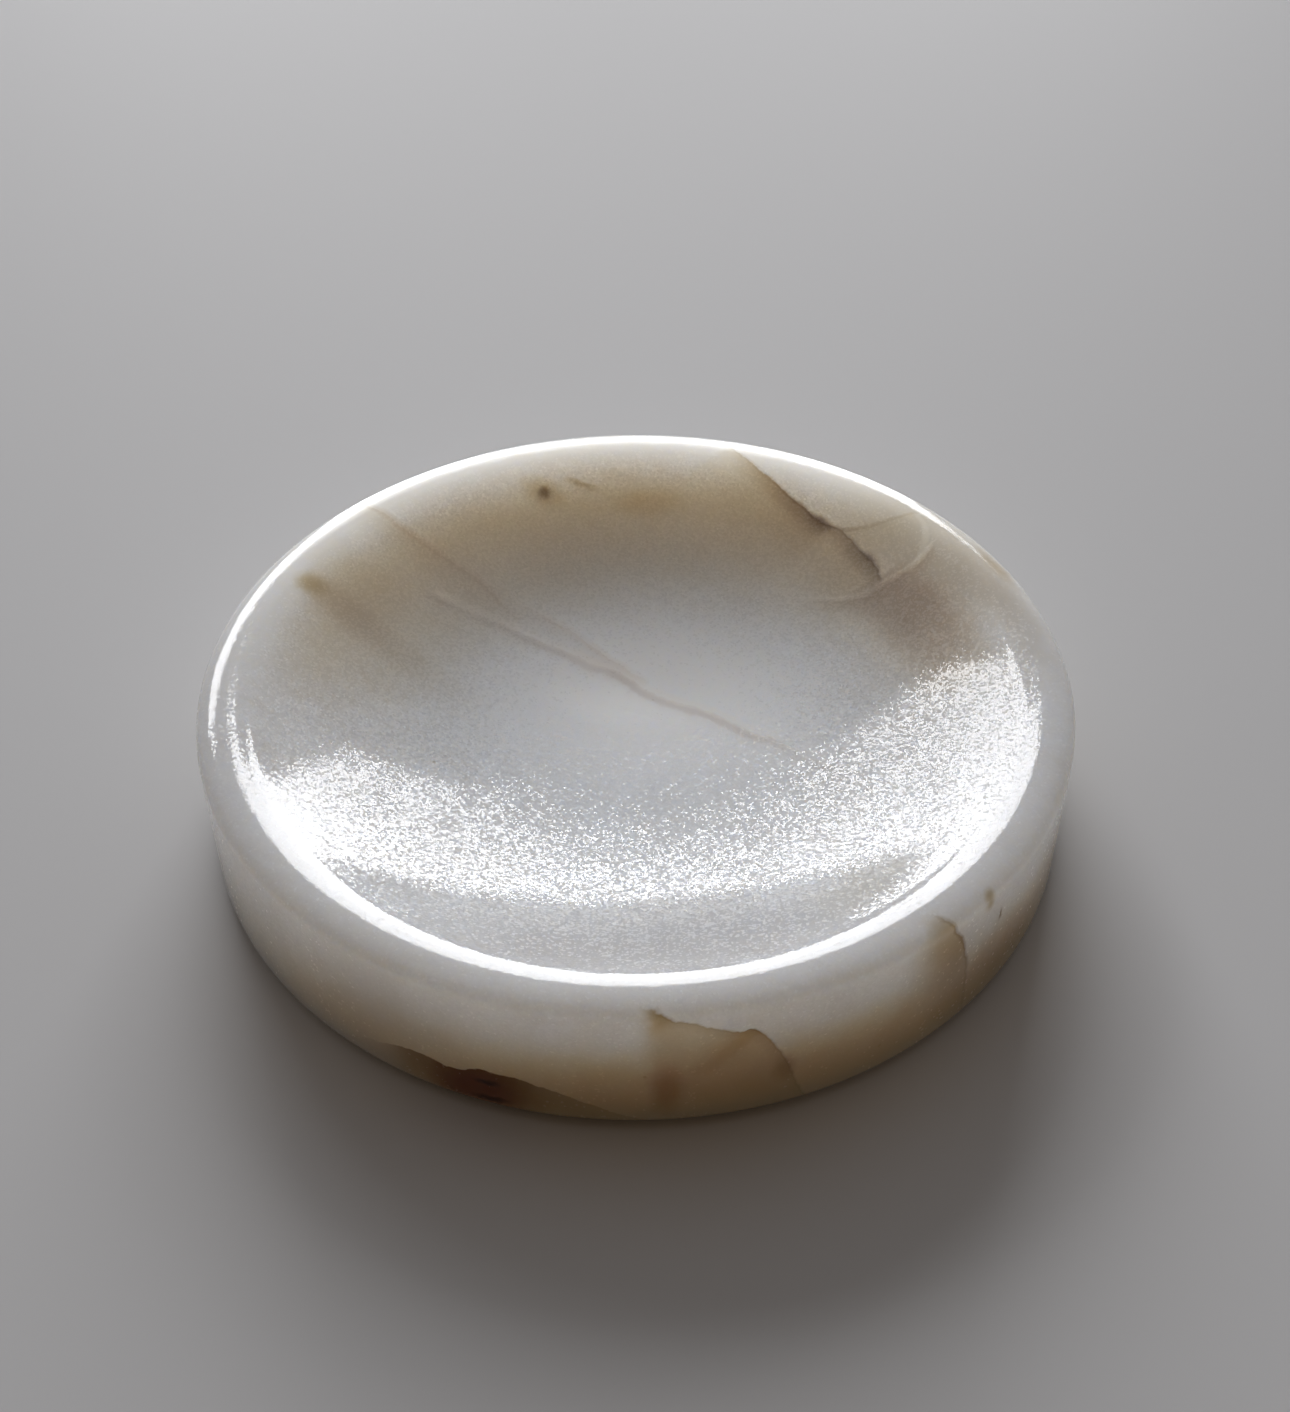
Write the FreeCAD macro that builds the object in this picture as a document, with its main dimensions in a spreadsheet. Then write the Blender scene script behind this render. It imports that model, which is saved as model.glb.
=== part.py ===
import FreeCAD, Part

import math
import os

import Sketcher

# A shallow round soap dish, turned and polished from one piece of banded calcite marble.
# It stands on four clear bumper pads stuck under its flat base.
# Origin: centre of the plane that the pads stand on. +Z is up, along the dish's own axis.

# Driving dimensions in millimetres, with one count and one angle in degrees.
SIZES = {
    "rim_diameter": 110.0,  # widest diameter, just under the shoulder
    "base_diameter": 109.6,  # the wall leans in a little towards the base
    "stone_height": 19.5,
    "base_edge_radius": 1.3,
    "crest_diameter": 103.8,  # circle of the rim's highest points
    "crown_radius": 9.0,  # round-over on top of the rim
    "shoulder_radius": 1.5,  # tighter corner between the crown and the wall
    "bowl_depth": 12.4,  # from the rim's crest down to the middle of the bowl
    "pad_diameter": 10.0,
    "pad_thickness": 1.0,
    "pad_edge_radius": 0.4,
    "pad_circle_diameter": 80.0,
    "pad_count": 4,
    "first_pad_angle": 45.0,
}

FULL_TURN = 360.0
FLATNESS = 1e-6  # how far an edge may lie off the base plane and still be in it

# Sketcher's numbers for the points of a line or an arc, the origin and the vertical axis.
START, END, CENTRE = 1, 2, 3
ORIGIN = (-1, 1)
AXIS = -2


def make_sheet(doc):
    sheet = doc.addObject("Spreadsheet::Sheet", "sizes")
    for row, (alias, value) in enumerate(SIZES.items(), start=1):
        sheet.set(f"A{row}", alias)
        sheet.set(f"B{row}", str(value))
        sheet.setAlias(f"B{row}", alias)
    doc.recompute()


def add_body(doc, label):
    body = doc.addObject("PartDesign::Body", label)
    body.Label = label
    return body


def add_half_section(body, name):
    """A sketch on the body's XZ plane: its x is the radius and its y the height."""
    plane = next(p for p in body.Origin.OriginFeatures if p.Role == "XZ_Plane")
    sketch = body.newObject("Sketcher::SketchObject", name)
    sketch.AttachmentSupport = [(plane, "")]
    sketch.MapMode = "FlatFace"
    return sketch


def line(start, end):
    return Part.LineSegment(FreeCAD.Vector(*start, 0), FreeCAD.Vector(*end, 0))


def arc(centre, radius, start_angle, end_angle):
    """An anticlockwise arc, its angles in radians."""
    circle = Part.Circle(FreeCAD.Vector(*centre, 0), FreeCAD.Vector(0, 0, 1), radius)
    return Part.ArcOfCircle(circle, start_angle, end_angle)


def constrain(sketch, kind, *where):
    sketch.addConstraint(Sketcher.Constraint(kind, *where))


def drive(sketch, name, formula, kind, *where):
    """A named dimension of the sketch, worked out from the sheet by a formula."""
    index = sketch.addConstraint(Sketcher.Constraint(kind, *where))
    sketch.renameConstraint(index, name)
    sketch.setExpression(f"Constraints.{name}", formula)


def revolve(body, sketch, name):
    solid = body.newObject("PartDesign::Revolution", name)
    solid.Profile = sketch
    solid.ReferenceAxis = (sketch, ["V_Axis"])
    solid.Angle = FULL_TURN
    return solid


def outer_base_edge(shape):
    """The name of the largest circle in the plane of the underside."""
    widths = {}
    for number, edge in enumerate(shape.Edges, start=1):
        box = edge.BoundBox
        if edge.isClosed() and max(abs(box.ZMin), abs(box.ZMax)) < FLATNESS:
            widths[f"Edge{number}"] = box.XLength
    return max(widths, key=widths.get)


def make_stone_dish(doc):
    """The stone: a flat base, a nearly upright wall, a round crown and a spherical bowl."""
    rim = SIZES["rim_diameter"] / 2
    base = SIZES["base_diameter"] / 2
    crest = SIZES["crest_diameter"] / 2
    crown = SIZES["crown_radius"]
    shoulder = SIZES["shoulder_radius"]
    top = SIZES["stone_height"]
    depth = SIZES["bowl_depth"]
    floor = top - depth

    # The bowl's sphere touches the crown from outside. The shoulder touches it from inside.
    bowl = (crest**2 + (depth - crown) ** 2 - crown**2) / (2 * depth)
    bowl_slope = math.asin(crest / (bowl + crown))
    lean = math.asin((rim - shoulder - crest) / (crown - shoulder))
    shoulder_level = top - crown + (crown - shoulder) * math.cos(lean)

    outline = [
        line((0, 0), (base, 0)),
        line((base, 0), (rim, shoulder_level)),
        arc((rim - shoulder, shoulder_level), shoulder, 0, math.pi / 2 - lean),
        arc((crest, top - crown), crown, math.pi / 2 - lean, math.pi / 2 + bowl_slope),
        arc((0, floor + bowl), bowl, -math.pi / 2, -math.pi / 2 + bowl_slope),
        line((0, floor), (0, 0)),
    ]
    body = add_body(doc, "stone_dish")
    sketch = add_half_section(body, "dish_section")
    underside, wall, corner, rim_top, hollow, middle = sketch.addGeometry(outline, False)

    constrain(sketch, "Coincident", underside, START, *ORIGIN)
    constrain(sketch, "Horizontal", underside)
    constrain(sketch, "Coincident", underside, END, wall, START)
    constrain(sketch, "Tangent", wall, END, corner, START)
    constrain(sketch, "Tangent", corner, END, rim_top, START)
    constrain(sketch, "Tangent", rim_top, END, hollow, END)
    constrain(sketch, "Coincident", hollow, START, middle, START)
    constrain(sketch, "Coincident", middle, END, *ORIGIN)
    constrain(sketch, "Vertical", middle)
    constrain(sketch, "PointOnObject", hollow, CENTRE, AXIS)

    across = ("DistanceX", *ORIGIN)
    up = ("DistanceY", *ORIGIN)
    shoulder_reach = "sizes.rim_diameter / 2 - sizes.shoulder_radius"
    crown_level = "sizes.stone_height - sizes.crown_radius"
    floor_level = "sizes.stone_height - sizes.bowl_depth"
    drive(sketch, "base_reach", "sizes.base_diameter / 2", *across, underside, END, base)
    drive(sketch, "shoulder_reach", shoulder_reach, *across, corner, CENTRE, rim - shoulder)
    drive(sketch, "crest_reach", "sizes.crest_diameter / 2", *across, rim_top, CENTRE, crest)
    drive(sketch, "crown_level", crown_level, *up, rim_top, CENTRE, top - crown)
    drive(sketch, "floor_level", floor_level, *up, middle, START, floor)
    drive(sketch, "corner_radius", "sizes.shoulder_radius", "Radius", corner, shoulder)
    drive(sketch, "crown_radius", "sizes.crown_radius", "Radius", rim_top, crown)

    turned = revolve(body, sketch, "turned_stone")
    doc.recompute()
    eased = body.newObject("PartDesign::Fillet", "eased_base_edge")
    eased.Base = (turned, [outer_base_edge(turned.Shape)])
    eased.setExpression("Radius", "sizes.base_edge_radius")
    body.setExpression("Placement.Base.z", "sizes.pad_thickness")
    return body


def make_bumper_pad(doc, number):
    """One round pad: flat where it grips the stone and where it stands, with a soft lower edge."""
    reach = SIZES["pad_diameter"] / 2
    edge = SIZES["pad_edge_radius"]
    thickness = SIZES["pad_thickness"]

    outline = [
        line((0, 0), (reach - edge, 0)),
        arc((reach - edge, edge), edge, -math.pi / 2, 0),
        line((reach, edge), (reach, thickness)),
        line((reach, thickness), (0, thickness)),
        line((0, thickness), (0, 0)),
    ]
    body = add_body(doc, f"bumper_pad_{number}")
    sketch = add_half_section(body, f"pad_section_{number}")
    underside, lip, side, top, middle = sketch.addGeometry(outline, False)

    constrain(sketch, "Coincident", underside, START, *ORIGIN)
    constrain(sketch, "Horizontal", underside)
    constrain(sketch, "Tangent", underside, END, lip, START)
    constrain(sketch, "Tangent", lip, END, side, START)
    constrain(sketch, "Vertical", side)
    constrain(sketch, "Coincident", side, END, top, START)
    constrain(sketch, "Horizontal", top)
    constrain(sketch, "Coincident", top, END, middle, START)
    constrain(sketch, "Vertical", middle)
    constrain(sketch, "Coincident", middle, END, *ORIGIN)

    across = ("DistanceX", *ORIGIN)
    up = ("DistanceY", *ORIGIN)
    drive(sketch, "reach", "sizes.pad_diameter / 2", *across, side, START, reach)
    drive(sketch, "thickness", "sizes.pad_thickness", *up, middle, START, thickness)
    drive(sketch, "edge_radius", "sizes.pad_edge_radius", "Radius", lip, edge)

    revolve(body, sketch, f"moulded_pad_{number}")
    turn = f"({number - 1} * 360 / sizes.pad_count + sizes.first_pad_angle) * 1 deg"
    body.setExpression("Placement.Base.x", f"sizes.pad_circle_diameter / 2 * cos({turn})")
    body.setExpression("Placement.Base.y", f"sizes.pad_circle_diameter / 2 * sin({turn})")
    return body


def check(doc, bodies):
    """Stop if any object failed to recompute, or any sub-part isn't one valid solid."""
    for item in doc.Objects:
        if "Invalid" in item.State or "Error" in item.State:
            raise RuntimeError(f"{item.Name} failed: {item.State}")
    for body in bodies:
        shape = body.Shape
        if shape.isNull() or not shape.isValid() or len(shape.Solids) != 1:
            raise RuntimeError(f"{body.Label} isn't one valid solid")


def main():
    doc = FreeCAD.newDocument("stone_soap_dish")
    make_sheet(doc)
    bodies = [make_stone_dish(doc)]
    for number in range(1, SIZES["pad_count"] + 1):
        bodies.append(make_bumper_pad(doc, number))
    doc.recompute()
    check(doc, bodies)

    os.makedirs("parts", exist_ok=True)
    for body in bodies:
        body.Shape.exportStep(f"parts/{body.Label}.step")
        box = body.Shape.optimalBoundingBox()
        extent = f"{box.XLength:.2f} x {box.YLength:.2f} x {box.ZLength:.2f} mm"
        print(f"{body.Label}: {extent}, {body.Shape.Volume:.0f} mm3")


main()
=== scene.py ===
import math

import bpy
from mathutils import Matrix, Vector


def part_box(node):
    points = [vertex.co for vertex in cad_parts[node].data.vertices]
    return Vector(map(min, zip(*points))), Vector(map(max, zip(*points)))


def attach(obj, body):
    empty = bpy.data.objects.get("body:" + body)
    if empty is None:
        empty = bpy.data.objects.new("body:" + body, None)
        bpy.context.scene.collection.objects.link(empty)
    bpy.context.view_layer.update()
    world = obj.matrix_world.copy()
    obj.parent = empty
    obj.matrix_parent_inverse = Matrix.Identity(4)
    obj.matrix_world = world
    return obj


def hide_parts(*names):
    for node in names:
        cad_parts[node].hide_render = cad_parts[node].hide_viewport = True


MM = 0.001

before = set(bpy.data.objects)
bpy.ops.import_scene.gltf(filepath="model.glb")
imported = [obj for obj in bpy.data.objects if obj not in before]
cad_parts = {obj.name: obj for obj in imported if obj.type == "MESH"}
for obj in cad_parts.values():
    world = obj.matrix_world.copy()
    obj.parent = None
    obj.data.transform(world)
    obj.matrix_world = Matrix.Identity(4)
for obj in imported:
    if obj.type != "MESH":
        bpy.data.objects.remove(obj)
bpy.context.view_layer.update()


# ---------------------------------------------------------------- camera, light and stage

CAMERA_DISTANCE = 266.4 * MM  # from the middle of the dish's foot
CAMERA_ELEVATION = math.radians(44.07)
CAMERA_AIM = Vector((1.26, 17.1, 0.0)) * MM
CAMERA_LENS = 51.0
CAMERA_ROLL = math.radians(-0.246)

# The window's edges are slopes: how far across or up a ray goes for each metre towards the back.
WINDOW_DISTANCE = 3.0
WINDOW_OUTLINE = [
    (-0.350, 0.002),
    (-0.080, 0.002),
    (-0.098, 0.060),
    (-0.155, 0.165),
    (-0.192, 0.242),
    (-0.100, 0.248),
    (0.000, 0.225),
    (0.100, 0.205),
    (0.178, 0.200),
    (0.150, 0.130),
    (0.112, 0.065),
    (0.085, 0.002),
    (0.310, 0.002),
    (0.310, 0.400),
    (0.335, 0.600),
    (0.330, 0.640),
    (0.170, 0.630),
    (0.045, 0.860),
    (-0.125, 0.865),
    (-0.210, 0.770),
    (-0.295, 0.777),
    (-0.420, 0.887),
    (-0.530, 0.945),
    (-0.575, 0.945),
    (-0.600, 0.860),
    (-0.570, 0.740),
    (-0.480, 0.600),
    (-0.400, 0.480),
    (-0.360, 0.380),
]
WINDOW_STRENGTH = 8.1
WINDOW_COLOUR = (0.97, 0.98, 1.0, 1)
FRONT_LIGHT = (0.095, 0.068, 0.045, 1)
BACK_LIGHT = (0.28, 0.29, 0.305, 1)
LIGHT_CHANGE = (-0.5, 0.7)  # where the front light starts to change and where the back light is full

FLOOR_HALF_WIDTH = 2.4
FLOOR_COLOUR = (0.66, 0.66, 0.67, 1)
FLOOR_ROUGHNESS = 0.6
FLOOR_SHINE = 0.2


def add_camera():
    camera = bpy.data.objects.new("camera", bpy.data.cameras.new("camera"))
    bpy.context.collection.objects.link(camera)
    camera.data.lens = CAMERA_LENS
    camera.data.clip_start = 0.01
    reach = CAMERA_DISTANCE * math.cos(CAMERA_ELEVATION)
    camera.location = (0, -reach, CAMERA_DISTANCE * math.sin(CAMERA_ELEVATION))
    aim = (CAMERA_AIM - camera.location).to_track_quat("-Z", "Y")
    camera.rotation_euler = aim.to_euler()
    camera.rotation_euler.rotate_axis("Z", CAMERA_ROLL)
    bpy.context.scene.camera = camera


def set_world():
    """Dim and warm in front of the dish, brighter and cooler behind it."""
    world = bpy.data.worlds.new("studio")
    bpy.context.scene.world = world
    world.use_nodes = True
    nodes, links = world.node_tree.nodes, world.node_tree.links
    direction = nodes.new("ShaderNodeTexCoord")
    axes = nodes.new("ShaderNodeSeparateXYZ")
    links.new(direction.outputs["Generated"], axes.inputs[0])
    share = nodes.new("ShaderNodeMapRange")
    share.interpolation_type = "SMOOTHSTEP"
    share.inputs["From Min"].default_value = LIGHT_CHANGE[0]
    share.inputs["From Max"].default_value = LIGHT_CHANGE[1]
    links.new(axes.outputs["Y"], share.inputs["Value"])
    blend = nodes.new("ShaderNodeMix")
    blend.data_type = "RGBA"
    links.new(share.outputs[0], blend.inputs[0])
    blend.inputs[6].default_value = FRONT_LIGHT
    blend.inputs[7].default_value = BACK_LIGHT
    links.new(blend.outputs[2], nodes["Background"].inputs["Color"])


class Graph:
    """Short calls for the nodes of one material. Places are in millimetres."""

    def __init__(self, name):
        self.material = bpy.data.materials.new(name)
        self.material.use_nodes = True
        self.tree = self.material.node_tree
        self.tree.nodes.clear()

    def join(self, value, socket):
        if isinstance(value, bpy.types.NodeSocket):
            self.tree.links.new(value, socket)
        else:
            socket.default_value = value

    def node(self, kind, inputs, **settings):
        made = self.tree.nodes.new(kind)
        for name, value in settings.items():
            setattr(made, name, value)
        for key, value in inputs.items():
            self.join(value, made.inputs[key])
        return made

    def surface(self, kind, inputs):
        shader = self.node(kind, inputs)
        output = self.tree.nodes.new("ShaderNodeOutputMaterial")
        self.tree.links.new(shader.outputs[0], output.inputs["Surface"])
        return self.material

    def math(self, operation, *values):
        return self.node("ShaderNodeMath", dict(enumerate(values)), operation=operation).outputs[0]

    def vector(self, operation, *values):
        made = self.node("ShaderNodeVectorMath", dict(enumerate(values)), operation=operation)
        return made.outputs["Value" if operation in ("DOT_PRODUCT", "LENGTH", "DISTANCE") else "Vector"]

    def scaled(self, value, factor):
        made = self.node("ShaderNodeVectorMath", {0: value, "Scale": factor}, operation="SCALE")
        return made.outputs["Vector"]

    def ramp(self, value, start, end):
        """0 before start and 1 after end, with a smooth step between."""
        inputs = {"Value": value, "From Min": start, "From Max": end}
        return self.node("ShaderNodeMapRange", inputs, interpolation_type="SMOOTHSTEP").outputs[0]

    def mix(self, share, first, second, blend="MIX"):
        inputs = {0: share, 6: first, 7: second}
        return self.node("ShaderNodeMix", inputs, data_type="RGBA", blend_type=blend).outputs[2]

    def noise(self, place, scale, detail=2.0, roughness=0.5):
        inputs = {"Vector": place, "Scale": scale, "Detail": detail, "Roughness": roughness}
        return self.node("ShaderNodeTexNoise", inputs)

    def curve(self, value, points):
        """A smooth curve through points whose two coordinates run from 0 to 1."""
        made = self.node("ShaderNodeFloatCurve", {"Value": value})
        line = made.mapping.curves[0].points
        line[0].location = points[0]
        line[1].location = points[-1]
        for point in points[1:-1]:
            line.new(*point)
        made.mapping.extend = "HORIZONTAL"
        made.mapping.update()
        return made.outputs[0]

    def place(self):
        """Where a point of the surface is on the object, in millimetres."""
        return self.scaled(self.node("ShaderNodeTexCoord", {}).outputs["Object"], 1 / MM)


def add_window():
    """A tall soft light behind the dish, seen only by what it lights."""
    points = [Vector((x, 1, z)) * WINDOW_DISTANCE for x, z in WINDOW_OUTLINE]
    mesh = bpy.data.meshes.new("window")
    mesh.from_pydata(points, [], [range(len(points))])
    window = bpy.data.objects.new("window", mesh)
    bpy.context.collection.objects.link(window)
    window.visible_camera = False
    light = {"Color": WINDOW_COLOUR, "Strength": WINDOW_STRENGTH}
    mesh.materials.append(Graph("window_light").surface("ShaderNodeEmission", light))


def add_floor():
    size = FLOOR_HALF_WIDTH
    mesh = bpy.data.meshes.new("floor")
    corners = [(-size, -size, 0), (size, -size, 0), (size, size, 0), (-size, size, 0)]
    mesh.from_pydata(corners, [], [(0, 1, 2, 3)])
    floor = bpy.data.objects.new("floor", mesh)
    bpy.context.collection.objects.link(floor)
    material = bpy.data.materials.new("pale_floor")
    material.use_nodes = True
    shader = material.node_tree.nodes["Principled BSDF"]
    shader.inputs["Base Color"].default_value = FLOOR_COLOUR
    shader.inputs["Roughness"].default_value = FLOOR_ROUGHNESS
    shader.inputs["Specular IOR Level"].default_value = FLOOR_SHINE
    mesh.materials.append(material)


# ---------------------------------------------------------------- the stone's shape

# The section of the dish, in millimetres, as the CAD holds it.
DISH_LOW, DISH_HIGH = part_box("stone_dish")
RIM = (DISH_HIGH[0] - DISH_LOW[0]) / 2 / MM
FOOT_LEVEL = DISH_LOW[2] / MM
TOP_LEVEL = DISH_HIGH[2] / MM
BASE = RIM - 0.2  # the wall leans in a little towards the base
BASE_EDGE = 1.3  # radius of the base's rounded edge
CREST = 51.9  # radius of the circle of the rim's highest points
CROWN = 9.0  # radius of the round-over on top of the rim
SHOULDER = 1.5  # radius of the tighter corner between the crown and the wall
BOWL_DEPTH = 12.4
BOWL = (CREST**2 + (BOWL_DEPTH - CROWN) ** 2 - CROWN**2) / (2 * BOWL_DEPTH)

SEGMENTS = 720
RING_STEP = 0.5  # between two rings of the mesh, measured along the section


def arc_points(centre, radius, first, last):
    """Points along an arc, from one angle to another."""
    steps = max(6, round(abs(last - first) * radius / RING_STEP))
    angles = [first + (last - first) * k / steps for k in range(steps + 1)]
    return [(centre[0] + radius * math.cos(a), centre[1] + radius * math.sin(a)) for a in angles]


def line_points(start, end):
    steps = max(2, round(math.dist(start, end) / RING_STEP))
    return [
        (start[0] + (end[0] - start[0]) * k / steps, start[1] + (end[1] - start[1]) * k / steps)
        for k in range(steps + 1)
    ]


def dish_section():
    """Radius and height along the stone's skin, from the middle of the base up and over to the bowl."""
    quarter = math.pi / 2
    slope = math.asin(CREST / (BOWL + CROWN))
    lean = math.asin((RIM - SHOULDER - CREST) / (CROWN - SHOULDER))
    shoulder_level = TOP_LEVEL - CROWN + (CROWN - SHOULDER) * math.cos(lean)
    edge_centre = (BASE - BASE_EDGE, FOOT_LEVEL + BASE_EDGE)
    runs = [
        line_points((0, FOOT_LEVEL), (BASE - BASE_EDGE, FOOT_LEVEL)),
        arc_points(edge_centre, BASE_EDGE, -quarter, 0),
        line_points((BASE, FOOT_LEVEL + BASE_EDGE), (RIM, shoulder_level)),
        arc_points((RIM - SHOULDER, shoulder_level), SHOULDER, 0, quarter - lean),
        arc_points((CREST, TOP_LEVEL - CROWN), CROWN, quarter - lean, quarter + slope),
        arc_points((0, TOP_LEVEL - BOWL_DEPTH + BOWL), BOWL, slope - quarter, -quarter),
    ]
    section = []
    for run in runs:
        section += run[1:] if section else run
    return section


def lathe(name, section, segments):
    """A closed skin of revolution. The section starts and ends on the axis."""
    rings = section[1:-1]
    points = [(0, 0, section[0][1])]
    for radius, level in rings:
        for k in range(segments):
            turn = 2 * math.pi * k / segments
            points.append((radius * math.cos(turn), radius * math.sin(turn), level))
    points.append((0, 0, section[-1][1]))
    last = len(points) - 1
    faces = []
    for k in range(segments):
        after = (k + 1) % segments
        faces.append((0, 1 + after, 1 + k))
        for ring in range(len(rings) - 1):
            low, high = 1 + ring * segments, 1 + (ring + 1) * segments
            faces.append((low + k, low + after, high + after, high + k))
        top = 1 + (len(rings) - 1) * segments
        faces.append((top + k, top + after, last))
    mesh = bpy.data.meshes.new(name)
    mesh.from_pydata([Vector(p) * MM for p in points], [], faces)
    mesh.shade_smooth()
    return mesh


def make_dish():
    mesh = lathe("polished_stone", dish_section(), SEGMENTS)
    dish = bpy.data.objects.new("polished_stone", mesh)
    bpy.context.collection.objects.link(dish)
    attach(dish, "root")
    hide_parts("stone_dish")
    return dish


# ---------------------------------------------------------------- the marble

PLAN = (Vector((1, 0, 0)), Vector((0, 1, 0)))  # a sheet that stands upright through the stone
FRONT = (Vector((1, 0, 0)), Vector((0, 0, 1)))  # a sheet seen on the front wall
CORNER = (Vector((0.766, 0.643, 0)), Vector((0, 0, 1)))  # a sheet seen on the wall's front right

# Each vein is drawn as points of the sheet that it fills, in millimetres, each with the vein's
# strength there.
FRACTURE = [
    (14.0, 50.6, 0.3),
    (18.2, 45.2, 0.6),
    (21.1, 42.2, 0.7),
    (24.7, 37.6, 0.9),
    (26.4, 35.4, 1.0),
    (28.9, 33.5, 0.6),
    (31.8, 28.9, 0.9),
    (33.0, 26.8, 0.9),
    (33.6, 23.6, 0.4),
    (34.2, 20.5, 0.0),
]
SIDE_CRACK = [
    (28.6, 33.8, 0.8),
    (32.3, 33.2, 0.6),
    (35.7, 33.3, 0.6),
    (38.3, 33.8, 0.5),
    (42.0, 34.6, 0.0),
]
PALE_HOOK = [
    (39.0, 34.2, 0.3),
    (40.0, 30.6, 0.8),
    (39.7, 27.6, 0.9),
    (38.4, 25.4, 0.0),
]
PALE_ARC = [
    (40.9, 27.6, 0.6),
    (38.9, 25.7, 1.0),
    (36.3, 24.3, 1.0),
    (33.9, 23.4, 1.0),
    (31.3, 22.4, 0.9),
    (29.3, 22.3, 0.8),
    (25.7, 23.4, 0.5),
    (22.0, 24.0, 0.0),
]
LONG_VEIN = [
    (-28.5, 24.6, 0.0),
    (-26.1, 24.0, 0.7),
    (-22.8, 22.5, 0.4),
    (-18.3, 21.0, 0.5),
    (-14.5, 19.4, 0.7),
    (-10.4, 17.8, 0.8),
    (-5.9, 15.4, 0.7),
    (-1.4, 13.4, 0.9),
    (1.4, 10.6, 1.0),
    (4.6, 8.8, 1.0),
    (8.5, 6.8, 1.0),
    (12.4, 3.9, 1.0),
    (15.4, 1.2, 1.0),
    (18.0, -0.2, 0.8),
    (20.9, -3.4, 0.5),
    (23.4, -5.8, 0.5),
    (27.3, -10.0, 0.3),
    (31.0, -14.0, 0.0),
]
RIGHT_STREAK = [
    (32.5, 24.5, 0.0),
    (34.3, 21.6, 0.8),
    (37.0, 18.4, 1.0),
    (39.1, 13.1, 0.8),
    (41.0, 6.9, 0.5),
    (42.0, 2.0, 0.0),
]
LEFT_STREAK = [
    (-45.0, 21.5, 0.0),
    (-43.3, 20.5, 0.8),
    (-38.9, 17.7, 0.8),
    (-31.4, 12.4, 0.5),
    (-27.2, 9.1, 0.35),
    (-23.2, 6.3, 0.2),
    (-19.0, 4.0, 0.0),
]
SECOND_VEIN = [
    (-17.5, 25.6, 0.0),
    (-14.2, 24.1, 0.5),
    (-8.4, 20.4, 0.7),
    (-5.1, 17.6, 0.8),
    (-1.0, 14.4, 0.6),
    (2.0, 12.0, 0.0),
]
LEFT_VEIN = [
    (-38.0, 37.2, 0.5),
    (-35.8, 35.8, 0.9),
    (-33.4, 34.2, 0.8),
    (-30.8, 32.8, 0.8),
    (-28.5, 31.6, 0.6),
    (-25.7, 30.1, 0.6),
    (-23.0, 28.8, 0.5),
    (-20.5, 26.7, 0.5),
    (-17.9, 23.9, 0.4),
    (-15.3, 21.6, 0.0),
]
PATCH_EDGE = [
    (-1.0, 20.6, 0.0),
    (0.8, 20.2, 0.8),
    (2.3, 19.9, 1.0),
    (4.1, 19.0, 0.7),
    (5.7, 18.4, 0.6),
    (8.0, 17.3, 0.6),
    (11.0, 16.0, 0.8),
    (12.6, 16.1, 1.0),
    (13.7, 15.0, 0.7),
    (14.9, 12.7, 0.6),
    (16.1, 10.0, 0.6),
    (17.1, 6.2, 0.5),
    (19.1, 1.0, 0.4),
]
STAIN_EDGE = [
    (-34.0, 2.6, 0.0),
    (-30.2, 5.2, 0.15),
    (-27.5, 6.3, 0.5),
    (-25.3, 6.9, 0.8),
    (-23.4, 6.9, 0.9),
    (-20.9, 6.3, 1.0),
    (-17.5, 7.6, 1.0),
    (-15.0, 7.3, 1.0),
    (-12.8, 7.3, 0.9),
    (-9.5, 6.4, 0.6),
    (-5.5, 4.6, 0.4),
    (-1.5, 2.8, 0.25),
    (4.0, 1.2, 0.0),
]
CORNER_EDGE = [
    (-3.4, 20.6, 0.0),
    (-1.2, 20.5, 0.6),
    (-0.5, 20.2, 0.8),
    (0.0, 19.5, 0.9),
    (0.5, 17.7, 1.0),
    (1.7, 15.8, 1.0),
    (2.5, 13.2, 0.8),
    (3.2, 10.0, 0.5),
    (3.8, 1.0, 0.3),
]


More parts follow.
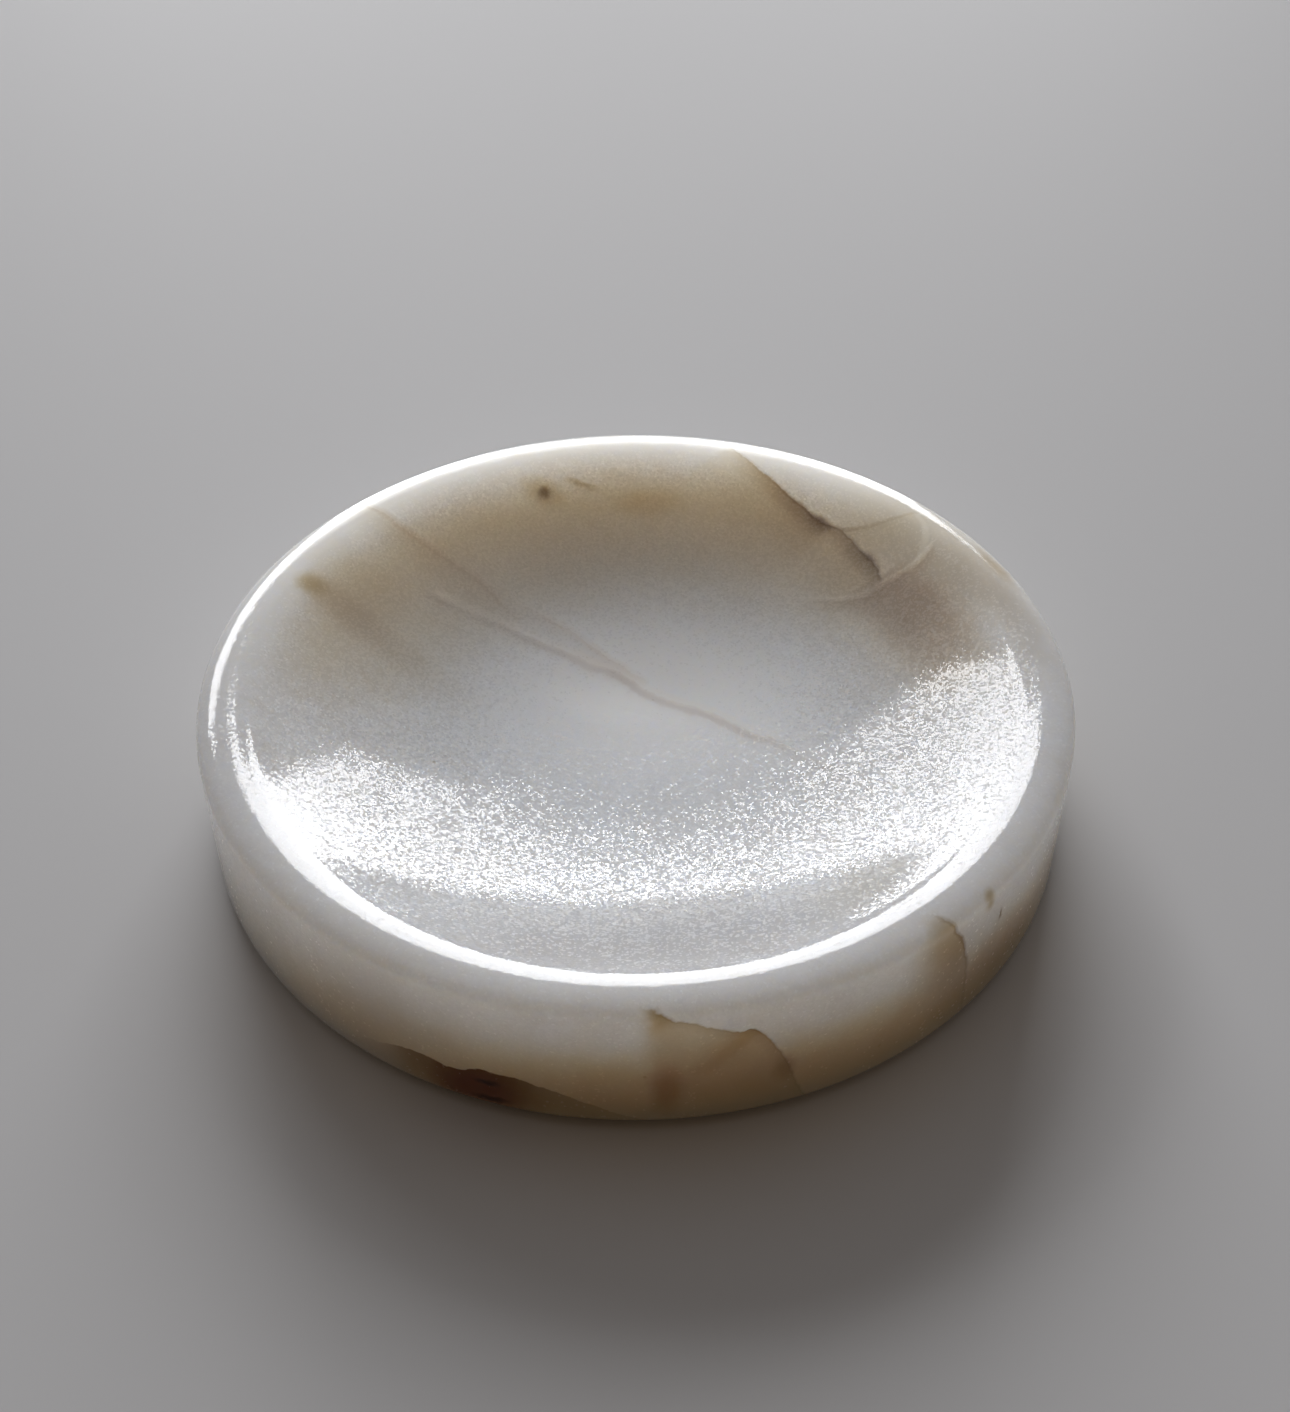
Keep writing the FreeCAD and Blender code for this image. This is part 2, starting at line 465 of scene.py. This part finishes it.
# Soft patches: middle and half sizes in millimetres, turn in degrees, amount, colour.
CLOUDS = [
    # darker, greyer patches on the right of the bowl and its rim, behind
    ((40.5, 29.0, 18.0), (24.0, 11.0, 14.0), 122, 0.85, (0.56, 0.53, 0.48)),
    ((50.5, 10.0, 19.5), (16.0, 4.5, 10.0), 100, 0.7, (0.52, 0.50, 0.48)),
    ((46.5, 19.0, 19.5), (14.0, 5.5, 9.0), 112, 0.55, (0.46, 0.42, 0.37)),
    # darker grey along the front of the bowl: painted shade on the bowl's front slope
    ((4.0, -42.0, 14.0), (56.0, 10.5, 12.0), 6, 1.0, (0.58, 0.575, 0.58)),
    ((27.0, -34.0, 14.0), (12.0, 7.0, 12.0), 38, 0.5, (0.62, 0.58, 0.50)),
    # brown spots high on the left
    ((-43.3, 20.5, 19.0), (3.4, 2.6, 5.0), 0, 0.65, (0.44, 0.36, 0.19)),
    ((-38.0, 22.0, 17.0), (12.0, 9.0, 10.0), 130, 0.35, (0.58, 0.50, 0.36)),
    # smudges behind
    ((1.8, 42.0, 16.8), (7.0, 3.0, 6.0), 0, 0.3, (0.60, 0.50, 0.32)),
    ((-13.0, 42.9, 18.0), (1.5, 1.3, 3.0), 0, 0.8, (0.20, 0.16, 0.10)),
    ((-13.0, 42.9, 18.0), (5.0, 3.0, 5.0), -20, 0.35, (0.45, 0.38, 0.25)),
    ((-7.5, 44.5, 18.2), (3.5, 0.8, 3.0), -15, 0.4, (0.35, 0.29, 0.18)),
    # spots on the rim, right
    ((48.6, 22.0, 19.0), (8.0, 1.5, 4.0), 115, 0.7, (0.34, 0.25, 0.16)),
    # dark knots in the fracture
    ((26.0, 36.0, 16.0), (2.9, 1.4, 4.0), -50, 0.75, (0.14, 0.09, 0.05)),
    ((32.6, 28.0, 15.0), (3.0, 1.2, 4.0), -60, 0.75, (0.16, 0.10, 0.06)),
    # the wall's front right, browner and darker low down: partly a brown stain, partly painted shade
    # near the floor; and the wall's right side, darker
    ((43.0, -34.0, 3.0), (16.0, 14.0, 12.0), 0, 0.65, (0.40, 0.28, 0.14)),
    ((54.0, -12.0, 6.0), (8.0, 24.0, 15.0), -12, 0.5, (0.50, 0.42, 0.33)),
    ((39.7, -37.6, 19.2), (1.1, 1.4, 2.6), 0, 0.7, (0.38, 0.29, 0.15)),
    ((41.7, -35.8, 14.7), (0.6, 0.6, 1.5), 0, 0.8, (0.22, 0.15, 0.08)),
    # rust marks low on the front wall
    ((3.0, -54.7, 7.4), (2.8, 5.0, 6.5), 0, 0.6, (0.42, 0.22, 0.07)),
    ((16.0, -52.4, 8.0), (2.0, 5.0, 3.2), 0, 0.5, (0.36, 0.21, 0.09)),
]

# Veins that reach the bowl: their points, then what is laid along each. A flank is a stain on one
# side of the vein (its width, its side, amount, colour), and a line is the vein itself (its width,
# its shift, amount, colour).
BOWL_VEINS = [
    (
        FRACTURE,
        [
            ("flank", 13.0, -1, 0.5, (0.46, 0.38, 0.23)),
            ("flank", 3.0, -1, 0.6, (0.24, 0.17, 0.09)),
            ("line", 0.5, 0, 0.35, (0.16, 0.11, 0.06)),
        ],
    ),
    (
        SIDE_CRACK,
        [
            ("flank", 6.0, -1, 0.35, (0.48, 0.43, 0.32)),
            ("line", 0.45, 0, 0.45, (0.34, 0.28, 0.19)),
        ],
    ),
    (PALE_HOOK, [("line", 0.7, 0, 0.25, (0.97, 0.93, 0.86))]),
    (
        PALE_ARC,
        [
            ("flank", 3.5, 1, 0.4, (0.44, 0.36, 0.28)),
            ("line", 0.8, 0, 0.38, (0.97, 0.93, 0.86)),
        ],
    ),
    (RIGHT_STREAK, [("line", 7.0, 0, 0.7, (0.42, 0.34, 0.26))]),
    (LEFT_STREAK, [("line", 3.8, 0, 0.42, (0.47, 0.39, 0.28))]),
    (
        LONG_VEIN,
        [
            ("flank", 3.4, -1, 0.3, (0.58, 0.51, 0.46)),
            ("line", 0.9, -0.8, 0.3, (0.50, 0.42, 0.36)),
            ("line", 1.1, 0.3, 0.45, (0.98, 0.91, 0.83)),
        ],
    ),
    (
        SECOND_VEIN,
        [
            ("flank", 5.0, -1, 0.35, (0.55, 0.47, 0.40)),
            ("line", 1.0, 0, 0.45, (0.82, 0.74, 0.66)),
        ],
    ),
    (
        LEFT_VEIN,
        [
            ("flank", 6.0, -1, 0.35, (0.48, 0.41, 0.31)),
            ("line", 0.9, 0, 0.28, (0.52, 0.40, 0.31)),
        ],
    ),
]

# The share of crystals that keep their polish, from the middle of the bowl to the outer edge.
WEAR = [
    (0, 0.02),
    (0.22, 0.03),
    (0.36, 0.18),
    (0.45, 0.35),
    (0.56, 0.48),
    (0.66, 0.56),
    (0.74, 0.65),
    (0.80, 0.74),
    (0.86, 0.83),
    (0.90, 0.92),
    (0.93, 1),
    (1, 1),
]
WEAR_CENTRE = (1.5, 2.0, 0.0)
POLISHED = 0.05  # roughness of a polished crystal
ETCHED = 0.64  # how much rougher a worn one is
ETCHED_LESS = 0.12  # and how much less worn it is in the milky middle
HALF_WORN = 0.18  # crystals this near the limit between the two are only partly worn
RINGS_PER_MM = 1.3  # faint rings of the grinding
RING_CHANGE = 0.2  # how far the rings change the polished share in all
RING_LOSS = 0.08  # and how much of that is downwards

# How fine each pattern is, and how far the swirls push the others, in millimetres.
SLOW_SWIRLS_PER_MM = 0.16
QUICK_SWIRLS_PER_MM = 0.9
SLOW_PUSH = 1.0
QUICK_PUSH = 0.7
DRIFT = 9.0
MIST_PER_MM = 0.07
STREAKS_PER_MM = 0.24
SPECKS_PER_MM = 0.17
CRYSTALS_PER_MM = 3.6
CRYSTAL_LEAN = 0.03
LIGHTEST_CRYSTAL = 1.02
BOWL_SHADES = 0.19  # how far the crystals' shades spread in the bowl
WALL_SHADES = 0.06  # and on the wall
GRAIN_PER_MM = 1.2
GRAIN_DEPTH = 0.001 * MM

# The stone's own colours, then its stains'.
COOL_STONE = (0.90, 0.885, 0.875)
WARM_STONE = (0.82, 0.80, 0.785)
PALE_STREAKS = (0.96, 0.96, 0.965)
GREY_STREAKS = (0.76, 0.73, 0.69)
WHITE_FLECKS_AND_GLINTS = (0.97, 0.97, 0.97)
# whiter in the bowl's middle: partly milky stone, partly painted light
MILKY_STONE_AND_PAINTED_LIGHT = (0.97, 0.965, 0.96)
MILKY_HEART_AND_PAINTED_LIGHT = (0.99, 0.99, 0.99)
RUST = (0.36, 0.28, 0.18)
# warm and darker on the bowl's back slope: partly the stone's tint, partly painted shade
HONEY_TINT_AND_SHADE = (0.70, 0.625, 0.50)
# painted light: a pale glow inside the rim behind
PAINTED_RIM_GLOW = (0.97, 0.94, 0.89)
# painted shade: warmer and darker low on the wall
PAINTED_WARM_SHADE = (0.64, 0.49, 0.26)
OCHRE = (0.50, 0.38, 0.20)
OCHRE_EDGE = (0.30, 0.22, 0.11)
CORNER_BROWN = (0.44, 0.34, 0.19)
HAIRLINE = (0.20, 0.14, 0.07)
OLIVE = (0.27, 0.14, 0.022)
DARK_RED = (0.16, 0.030, 0.004)
UPPER_KNOT = (0.04, 0.007, 0.002)
LOWER_KNOT = (0.04, 0.006, 0.002)

LIGHT_DEPTH = 3.4 * MM  # how far light goes into clear stone
MILKY_LOSS = 0.75  # the share of that depth lost in the milky middle
STAINED_LOSS = 0.8  # and in the dark stain on the wall
SCATTER_COLOURS = (8.5, 7.4, 5.9)  # red light goes furthest
STONE_IOR = 1.56
PLAIN_SHINE = 0.5
RUBBED_LOSS = 0.4
HEART_GAIN = 0.5


class Stone(Graph):
    """The marble's graph: its coordinates, and a colour that each stain is laid over in turn."""

    def __init__(self):
        super().__init__("marble")
        self.still = self.place()
        self.radius = self.vector("LENGTH", self.vector("MULTIPLY", self.still, (1, 1, 0)))
        # Two sizes of swirl bend every vein and cloud a little.
        self.slow = self.centred(self.noise(self.still, SLOW_SWIRLS_PER_MM).outputs["Color"])
        quick = self.centred(self.noise(self.still, QUICK_SWIRLS_PER_MM).outputs["Color"])
        self.bent = self.pushed(SLOW_PUSH)
        self.swirled = self.vector("ADD", self.bent, self.scaled(quick, QUICK_PUSH))
        self.drift = self.pushed(DRIFT)
        self.tone = None
        self.depth = LIGHT_DEPTH

    def centred(self, colour):
        return self.vector("SUBTRACT", colour, (0.5, 0.5, 0.5))

    def pushed(self, reach):
        """The place, pushed about by the slow swirl."""
        return self.vector("ADD", self.still, self.scaled(self.slow, reach))

    def times(self, *shares):
        product = shares[0]
        for share in shares[1:]:
            product = self.math("MULTIPLY", product, share)
        return product

    def without(self, share):
        return self.math("SUBTRACT", 1.0, share)

    def toward(self, direction, place=None):
        """How far a place lies in a direction."""
        start = self.still if place is None else place
        return self.vector("DOT_PRODUCT", start, direction)

    def stain(self, share, amount, colour):
        self.tone = self.mix(self.times(share, amount), self.tone, (*colour, 1))

    def cloud(self, centre, size, turn=0.0, place=None):
        """1 in the middle of a soft patch and 0 outside it. The turn is about Z, in degrees."""
        offset = self.vector("SUBTRACT", self.swirled if place is None else place, centre)
        angle = math.radians(turn)
        first = Vector((math.cos(angle), math.sin(angle), 0)) / size[0]
        second = Vector((-math.sin(angle), math.cos(angle), 0)) / size[1]
        third = Vector((0, 0, 1)) / size[2]
        parts = [self.vector("DOT_PRODUCT", offset, axis) for axis in (first, second, third)]
        inputs = dict(enumerate(parts))
        reach = self.vector("LENGTH", self.node("ShaderNodeCombineXYZ", inputs).outputs[0])
        return self.without(self.ramp(reach, 0.15, 1.0))


class Vein:
    """A wavy sheet through the stone, and a point's distance from it in millimetres."""

    def __init__(self, stone, plane, points, within=None):
        self.stone = stone
        first, last = Vector(points[0][:2]), Vector(points[-1][:2])
        chord = last - first
        along = chord.normalized()
        across = Vector((-along.y, along.x))
        origin = plane[0] * first.x + plane[1] * first.y
        offset = stone.vector("SUBTRACT", stone.swirled, origin)
        solid_along = (plane[0] * along.x + plane[1] * along.y) / chord.length
        solid_across = plane[0] * across.x + plane[1] * across.y
        share = stone.vector("DOT_PRODUCT", offset, solid_along)
        away = stone.vector("DOT_PRODUCT", offset, solid_across)
        shares = [(Vector(p[:2]) - first).dot(along) / chord.length for p in points]
        bulges = [(Vector(p[:2]) - first).dot(across) for p in points]
        reach = 2 * max(abs(bulge) for bulge in bulges) + 1
        bend = stone.curve(share, [(s, 0.5 + b / reach) for s, b in zip(shares, bulges)])
        bulge = stone.math("MULTIPLY_ADD", bend, reach, -reach / 2)
        self.side = stone.math("SUBTRACT", away, bulge)
        middle = stone.math("ABSOLUTE", stone.math("SUBTRACT", share, 0.5))
        inside = stone.without(stone.ramp(middle, 0.48, 0.51))
        strength = stone.curve(share, [(s, p[2]) for s, p in zip(shares, points)])
        self.strength = stone.times(strength, inside)
        if within is not None:
            self.strength = stone.times(self.strength, within)

    def line(self, width, shift=0.0):
        """1 on the sheet, and 0 further from it than the width."""
        away = self.stone.math("ABSOLUTE", self.stone.math("SUBTRACT", self.side, shift))
        near = self.stone.without(self.stone.ramp(away, width * 0.2, width))
        return self.stone.times(near, self.strength)

    def flank(self, width, sign):
        """1 beside the sheet on one side, fading out over the width, and 0 on the other side."""
        away = self.stone.math("MULTIPLY", self.side, sign)
        fade = self.stone.without(self.stone.ramp(away, 0.0, width))
        inside = self.stone.ramp(away, -0.12, 0.12)
        return self.stone.times(fade, inside, self.strength)


def lay_body(stone):
    """Cool white, with paler and warmer clouds and long faint streaks."""
    mist = stone.noise(stone.drift, MIST_PER_MM, 4.0, 0.55).outputs["Fac"]
    stone.tone = stone.mix(stone.ramp(mist, 0.35, 0.68), (*COOL_STONE, 1), (*WARM_STONE, 1))
    along = stone.toward((0.86, -0.50, 0), stone.drift)
    across = stone.toward((0.50, 0.86, 0), stone.drift)
    grain = stone.node("ShaderNodeCombineXYZ", {0: stone.times(along, 0.3), 1: across}).outputs[0]
    streaks = stone.noise(grain, STREAKS_PER_MM, 6.0, 0.62).outputs["Fac"]
    stone.stain(stone.ramp(streaks, 0.50, 0.72), 0.5, PALE_STREAKS)
    stone.stain(stone.ramp(streaks, 0.47, 0.27), 0.5, GREY_STREAKS)


def lay_crystals(stone):
    """Each crystal has its own shade, and a few are white flecks: partly lighter crystals, partly
    painted glints. Returns each one's lean and chance.
    """
    crystals = stone.node("ShaderNodeTexVoronoi", {"Vector": stone.still, "Scale": CRYSTALS_PER_MM})
    chance = crystals.outputs["Color"]
    lean = stone.scaled(stone.centred(chance), CRYSTAL_LEAN)
    first_chance = stone.toward((1, 0, 0), chance)
    second_chance = stone.toward((0, 1, 0), chance)
    outward = stone.ramp(stone.radius, 47, 52)
    spread = stone.math("MULTIPLY_ADD", outward, WALL_SHADES - BOWL_SHADES, BOWL_SHADES)
    shade = stone.math("SUBTRACT", LIGHTEST_CRYSTAL, stone.times(second_chance, spread))
    grey = stone.node("ShaderNodeCombineColor", {0: shade, 1: shade, 2: shade}).outputs[0]
    stone.tone = stone.mix(1.0, stone.tone, grey, "MULTIPLY")
    # White flecks: partly lighter crystals, partly painted glints.
    stone.stain(stone.ramp(second_chance, 0.07, 0.0), 0.5, WHITE_FLECKS_AND_GLINTS)
    return lean, first_chance


def lay_milk_and_painted_light(stone):
    """Under the middle of the bowl the stone is milkier: light goes less far into it, and it is whiter,
    partly milky stone and partly painted light.
    """
    core = stone.cloud((2, 11, 8.1), (36, 27, 22), -12)
    heart = stone.cloud((-2.2, 7.6, 8.2), (13, 5.5, 14), -14)
    # Whiter in the middle of the bowl: partly milky stone, partly painted light.
    stone.stain(core, 0.9, MILKY_STONE_AND_PAINTED_LIGHT)
    stone.stain(heart, 1.0, MILKY_HEART_AND_PAINTED_LIGHT)
    stone.depth = stone.math("MULTIPLY_ADD", core, -MILKY_LOSS * LIGHT_DEPTH, LIGHT_DEPTH)
    return core, heart


def lay_specks(stone):
    """A few rusty specks."""
    cells = stone.node("ShaderNodeTexVoronoi", {"Vector": stone.bent, "Scale": SPECKS_PER_MM})
    chosen = stone.ramp(stone.toward((0, 0, 1), cells.outputs["Color"]), 0.45, 0.6)
    speck = stone.without(stone.ramp(cells.outputs["Distance"], 0.02, 0.055))
    stone.stain(stone.times(speck, chosen), 0.55, RUST)


def lay_warmth_and_painted_light(stone, outer):
    """Warmer, darker back slope: partly tint, partly painted shade. Paler rim behind: painted light.
    Warmer, darker low wall: painted shade.
    """
    level = stone.vector("MULTIPLY", stone.swirled, (1, 1, 0))
    oval = stone.vector("MULTIPLY", stone.vector("SUBTRACT", level, (3, -8, 0)), (1 / 36, 1 / 38, 0))
    edge = stone.ramp(stone.vector("LENGTH", oval), 0.75, 1.12)
    behind = stone.ramp(stone.toward((0, 1, 0), stone.drift), -6, 12)
    inner = stone.without(stone.ramp(stone.radius, 41, 50))
    # Warmer and darker on the bowl's back slope: partly the stone's tint, partly painted shade where the
    # slope faces away from the light.
    stone.stain(stone.times(edge, behind, inner), 0.7, HONEY_TINT_AND_SHADE)
    # Paler inside the rim behind: painted light, the glow of light coming through the thin rim from
    # behind.
    stone.stain(stone.times(behind, stone.ramp(stone.radius, 46, 50)), 0.8, PAINTED_RIM_GLOW)

    # Warmer and darker low on the wall, most at the front right: painted shade near the floor.
    low = stone.without(stone.ramp(stone.toward((0, 0, 1), stone.pushed(3.0)), 4, 17))
    rightward = stone.math("MULTIPLY_ADD", stone.ramp(stone.toward((1, 0, 0)), -58, 0), 0.6, 0.3)
    forward = stone.math("MULTIPLY_ADD", stone.ramp(stone.toward((0, -1, 0)), -45, 15), 0.6, 0.4)
    stone.stain(stone.times(low, rightward, forward, outer), 1.0, PAINTED_WARM_SHADE)


def lay_bowl_veins(stone):
    for points, layers in BOWL_VEINS:
        vein = Vein(stone, PLAN, points)
        for kind, width, side, amount, colour in layers:
            share = vein.flank(width, side) if kind == "flank" else vein.line(width, side)
            stone.stain(share, amount, colour)


def lay_wall_stains(stone, outer):
    """Stains that start on the wall's face and stay near it."""
    front = stone.times(outer, stone.ramp(stone.toward((0, -1, 0)), 20, 40))
    corner_face = stone.times(outer, stone.ramp(stone.toward((0.643, -0.766, 0)), 20, 40))

    # The ochre patch, which ends on its left without an edge.
    left_end = stone.ramp(stone.toward((1, 0, 0), stone.swirled), -0.5, 2.5)
    patch = Vein(stone, FRONT, PATCH_EDGE, stone.times(front, left_end))
    stone.stain(patch.flank(22.0, -1), 0.75, OCHRE)
    stone.stain(patch.flank(1.8, -1), 0.35, OCHRE_EDGE)
    stone.stain(patch.line(0.35), 0.3, HAIRLINE)

    # The dark stain: olive at its ends, red in the middle, with two black knots.
    dark = Vein(stone, FRONT, STAIN_EDGE, front)
    stained = dark.flank(14.0, -1)
    stone.stain(stained, 0.95, OLIVE)
    stone.depth = stone.times(stone.depth, stone.math("MULTIPLY_ADD", stained, -STAINED_LOSS, 1.0))
    middle = stone.cloud((-18.0, -52.0, 3.5), (8.0, 12, 8))
    stone.stain(stone.times(dark.flank(20.0, -1), middle), 0.95, DARK_RED)
    stone.stain(stone.cloud((-17.0, -52.2, 5.5), (2.2, 3, 0.7)), 0.9, UPPER_KNOT)
    stone.stain(stone.cloud((-16.8, -52.2, 2.6), (3.2, 3, 0.8)), 0.9, LOWER_KNOT)

    corner = Vein(stone, CORNER, CORNER_EDGE, corner_face)
    stone.stain(corner.flank(9.0, -1), 0.75, CORNER_BROWN)
    stone.stain(corner.line(0.45), 0.4, HAIRLINE)


def worn_roughness(stone, chance, core):
    """Use has etched most crystals in the middle of the bowl. Those near the rim keep their polish."""
    offset = stone.vector("SUBTRACT", stone.pushed(5.0), WEAR_CENTRE)
    worn = stone.vector("LENGTH", stone.vector("MULTIPLY", offset, (1 / RIM, 1 / RIM, 0)))
    across = stone.vector("MULTIPLY", stone.still, (0.12, 0.12, 0))
    outward = stone.node("ShaderNodeCombineXYZ", {2: stone.radius}).outputs[0]
    rings = stone.noise(stone.vector("ADD", across, outward), RINGS_PER_MM, 3.0).outputs["Fac"]
    ringed = stone.math("MULTIPLY_ADD", rings, RING_CHANGE, -RING_LOSS)
    polish = stone.math("ADD", stone.curve(worn, WEAR), ringed)
    dull = stone.ramp(stone.math("SUBTRACT", chance, polish), -HALF_WORN, HALF_WORN)
    foot = stone.without(stone.ramp(stone.toward((0, 0, 1)), FOOT_LEVEL + 0.02, FOOT_LEVEL + 0.3))
    dull = stone.math("MAXIMUM", dull, foot)
    etched = stone.math("MULTIPLY_ADD", core, -ETCHED_LESS, ETCHED)
    return stone.math("MULTIPLY_ADD", dull, etched, POLISHED)


def uneven_shine(stone, heart):
    """The rim mirrors less at the back right and along its crest behind, and the bowl's middle more."""
    right = stone.cloud((49.5, 20.5, 19.0), (30, 5.5, 9), 113, stone.still)
    within, beyond = stone.ramp(stone.radius, 49.5, 50.5), stone.ramp(stone.radius, 51.8, 52.5)
    behind = stone.ramp(stone.toward((0, 1, 0)), 2, 22)
    crest = stone.times(stone.math("SUBTRACT", within, beyond), behind)
    rubbed = stone.math("MULTIPLY_ADD", stone.math("MAXIMUM", right, crest), -RUBBED_LOSS, PLAIN_SHINE)
    return stone.math("MULTIPLY_ADD", heart, HEART_GAIN, rubbed)


def marble():
    stone = Stone()
    outer = stone.ramp(stone.radius, CREST - 0.1, RIM - 1)
    lay_body(stone)
    lean, chance = lay_crystals(stone)
    core, heart = lay_milk_and_painted_light(stone)
    lay_specks(stone)
    lay_warmth_and_painted_light(stone, outer)
    for centre, size, turn, amount, colour in CLOUDS:
        stone.stain(stone.cloud(centre, size, turn), amount, colour)
    lay_bowl_veins(stone)
    lay_wall_stains(stone, outer)
    grain = stone.noise(stone.still, GRAIN_PER_MM, 3.0, 0.6).outputs["Fac"]
    bump = stone.node("ShaderNodeBump", {"Height": grain, "Distance": GRAIN_DEPTH})
    normal = stone.vector("NORMALIZE", stone.vector("ADD", bump.outputs["Normal"], lean))
    return stone.surface(
        "ShaderNodeBsdfPrincipled",
        {
            "Base Color": stone.tone,
            "Roughness": worn_roughness(stone, chance, core),
            "Normal": normal,
            "IOR": STONE_IOR,
            "Specular IOR Level": uneven_shine(stone, heart),
            "Subsurface Weight": 1.0,
            "Subsurface Radius": SCATTER_COLOURS,
            "Subsurface Scale": stone.depth,
        },
    )


def clear_rubber():
    graph = Graph("clear_pad")
    cloudiness = graph.noise(graph.place(), 0.8, 3.0).outputs["Fac"]
    return graph.surface(
        "ShaderNodeBsdfPrincipled",
        {
            "Base Color": graph.mix(cloudiness, (0.88, 0.90, 0.90, 1), (0.80, 0.83, 0.84, 1)),
            "Roughness": graph.math("MULTIPLY_ADD", cloudiness, 0.25, 0.12),
            "IOR": 1.49,
            "Transmission Weight": 0.9,
        },
    )


def finish_pads():
    material = clear_rubber()
    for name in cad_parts:
        if name.startswith("bumper_pad"):
            for slot in bpy.data.objects[name].material_slots:
                slot.material = material


add_camera()
set_world()
add_window()
add_floor()
dish = make_dish()
dish.data.materials.append(marble())
finish_pads()
bpy.context.scene.view_settings.view_transform = "Standard"
